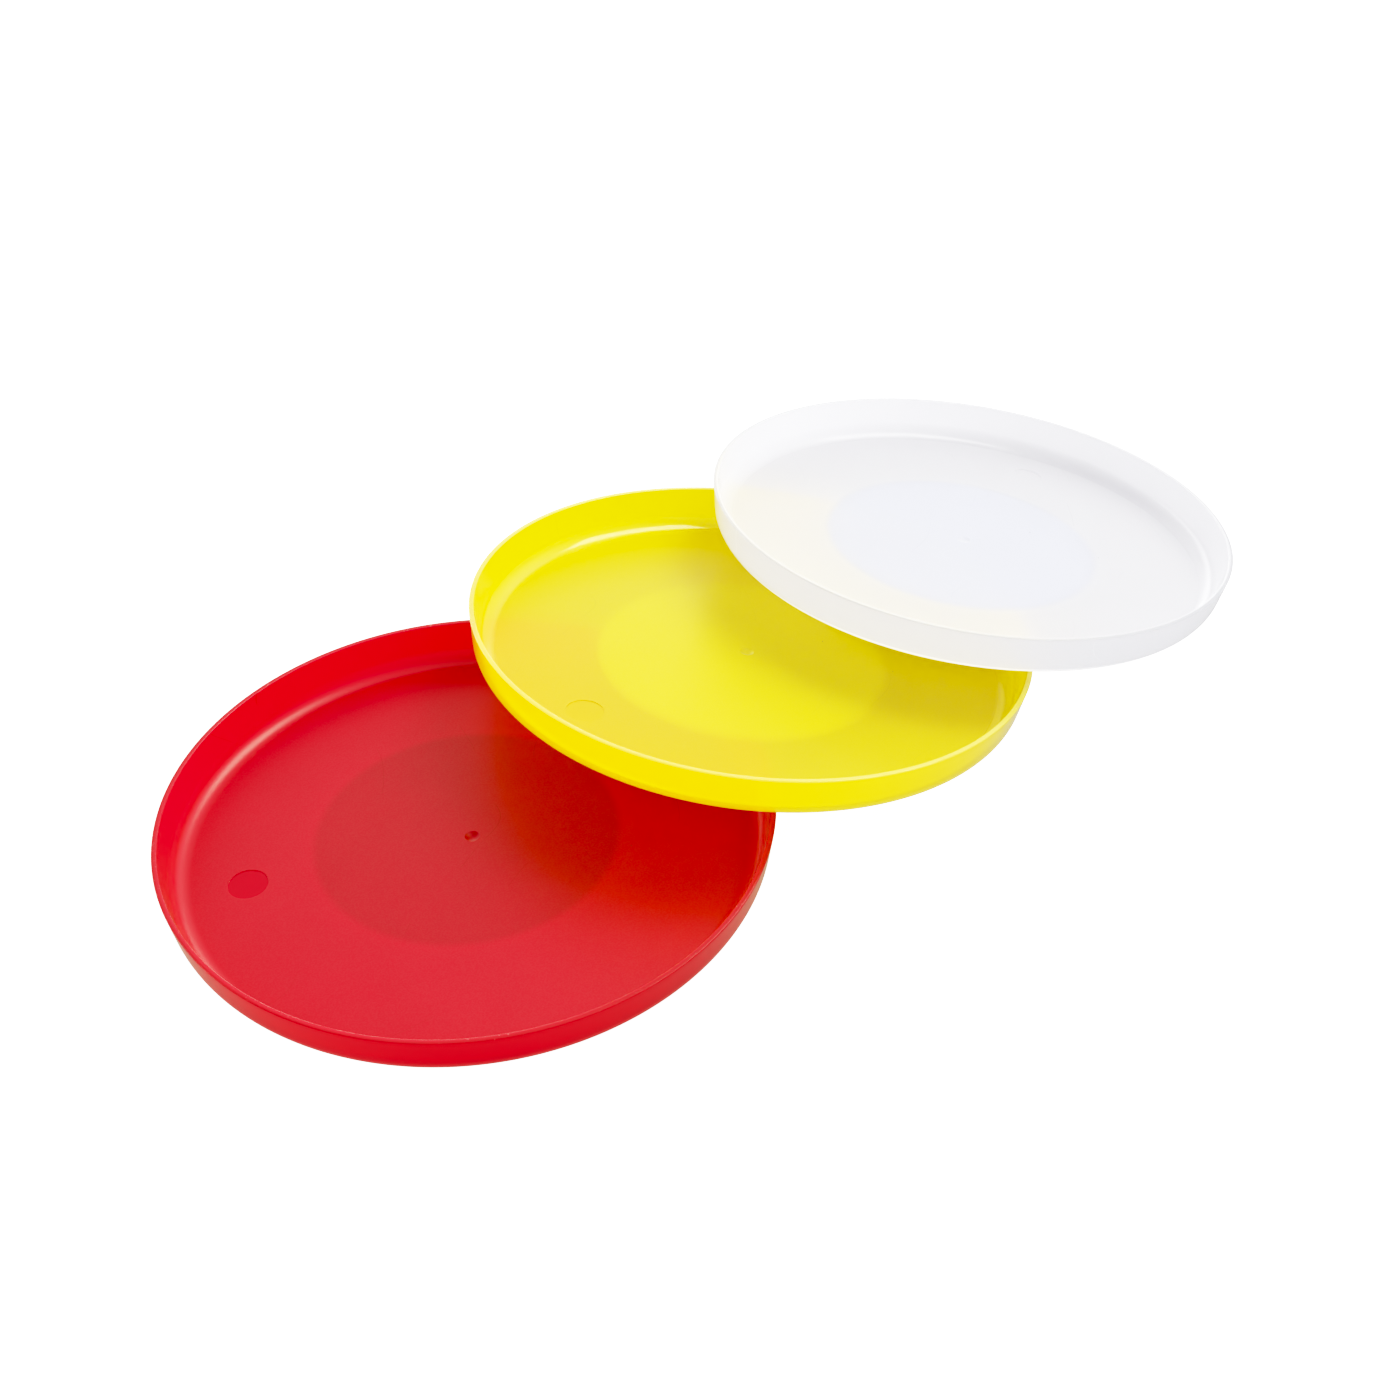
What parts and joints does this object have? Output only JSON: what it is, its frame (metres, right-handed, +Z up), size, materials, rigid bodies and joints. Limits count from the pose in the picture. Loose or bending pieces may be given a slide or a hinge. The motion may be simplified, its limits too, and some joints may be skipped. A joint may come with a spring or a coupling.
{
  "type": "developing tray set",
  "caption": "Round shallow plastic developing trays with gently flared walls and flat rims, fanned in a row, each leaning on the rim of the next, with a plain paper label under each floor.",
  "frame": {"origin": "on the table, under the middle of the red tray that stands flat", "axes": "+Z up, +X along the row from the red tray through the yellow to the white one"},
  "size_m": [0.4234, 0.1988, 0.0456],
  "materials": {
    "red_plastic": "satin gloss, slightly see-through",
    "yellow_plastic": "satin gloss, slightly see-through",
    "white_plastic": "satin gloss, milky and slightly see-through",
    "label_paper": "plain matt paper"
  },
  "bodies": {
    "red": {"red_tray": "red_plastic", "red_label": "label_paper"},
    "yellow": {"yellow_tray": "yellow_plastic", "yellow_label": "label_paper"},
    "white": {"white_tray": "white_plastic", "white_label": "label_paper"}
  },
  "joints": [
    {"name": "yellow_lift", "type": "slide", "parent": "red", "child": "yellow", "axis": [0, 0, 1], "range_m": [0, 0.06]},
    {"name": "white_lift", "type": "slide", "parent": "yellow", "child": "white", "axis": [0, 0, 1], "range_m": [0, 0.06]}
  ]
}
